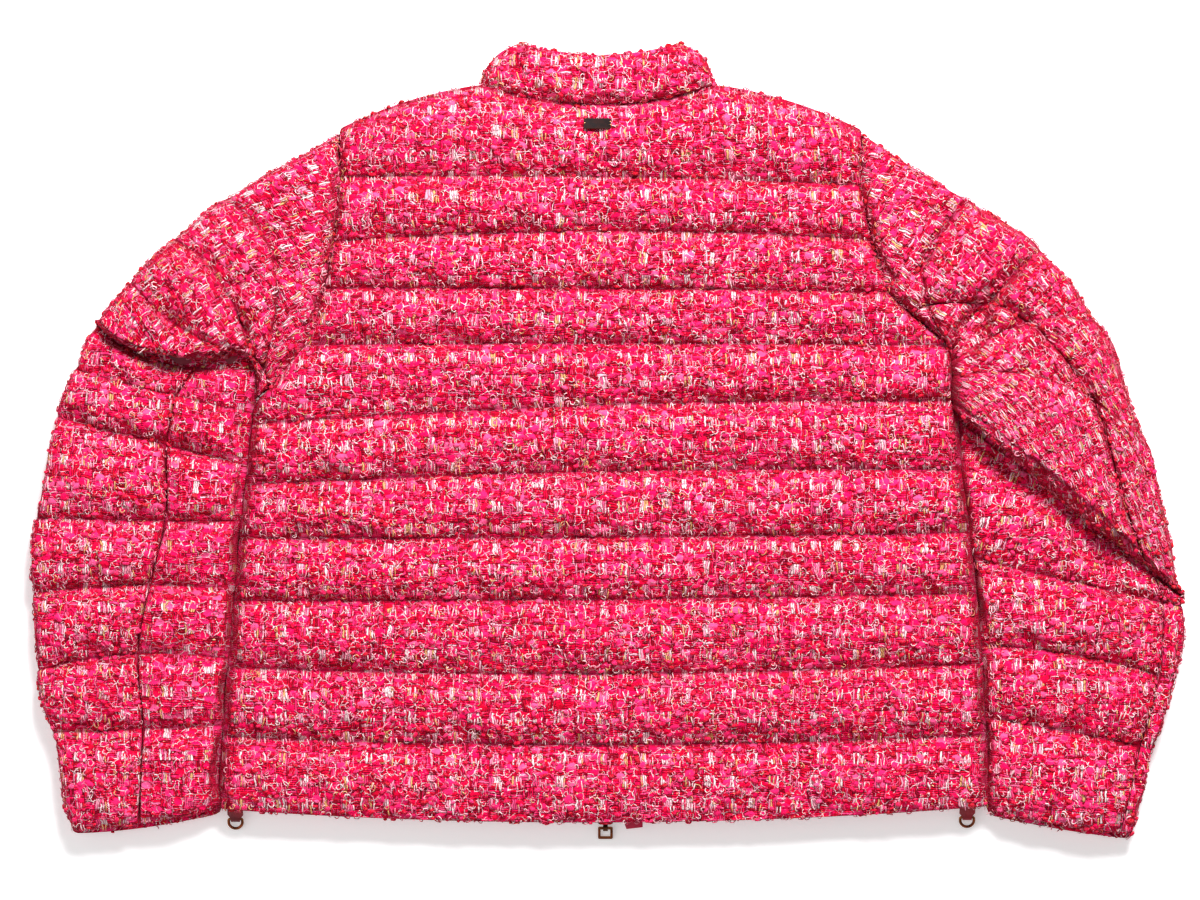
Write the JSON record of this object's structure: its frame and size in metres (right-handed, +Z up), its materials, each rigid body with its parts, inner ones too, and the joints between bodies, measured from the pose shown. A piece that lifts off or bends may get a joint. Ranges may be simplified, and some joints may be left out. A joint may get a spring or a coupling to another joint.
{
  "type": "quilted tweed puffer jacket",
  "caption": "Cropped quilted puffer jacket in pink tweed with a stand collar, a front zip and small hem rings, lying flat on its front.",
  "frame": {"origin": "on the surface it lies on, under the middle of the jacket's box, with the back facing up", "axes": "+X to the wearer's right, across the back; +Y from the hem to the collar; +Z up, out of the back"},
  "size_m": [0.8656, 0.5988, 0.047],
  "materials": {
    "tweed": "boucle tweed in hot pink, red, white and a little gold, quilted in rows",
    "crimson": "plain crimson cloth and tape",
    "zip_tape": "woven crimson zip tape",
    "bronze": "polished reddish bronze",
    "dark_bronze": "dark antique bronze"
  },
  "bodies": {
    "jacket": {"back": "tweed", "front_left": "tweed", "front_right": "tweed", "collar": "tweed", "sleeve_left_top": "tweed", "sleeve_left_under": "tweed", "sleeve_right_top": "tweed", "sleeve_right_under": "tweed", "zip_tape_left": "zip_tape", "zip_tape_right": "zip_tape", "zip_chain": "dark_bronze", "zip_slider": "dark_bronze", "hem_facing": "crimson", "neck_plate": "dark_bronze", "hem_tab_left": "crimson", "hem_tab_right": "crimson"},
    "pull": {"zip_pull": "bronze"},
    "left_ring": {"hem_ring_left": "bronze"},
    "right_ring": {"hem_ring_right": "bronze"}
  },
  "joints": [
    {"name": "pull_swing", "type": "hinge", "parent": "jacket", "child": "pull", "pos_m": [-0.00162, -0.29106, 0.0027], "axis": [-1, 0, 0], "range_deg": [0, 100]},
    {"name": "left_ring_swing", "type": "hinge", "parent": "jacket", "child": "left_ring", "pos_m": [-0.28012, -0.28403, 0.0046], "axis": [-1, 0, 0], "range_deg": [0, 120]},
    {"name": "right_ring_swing", "type": "hinge", "parent": "jacket", "child": "right_ring", "pos_m": [0.27068, -0.28273, 0.0046], "axis": [-1, 0, 0], "range_deg": [0, 120]}
  ]
}
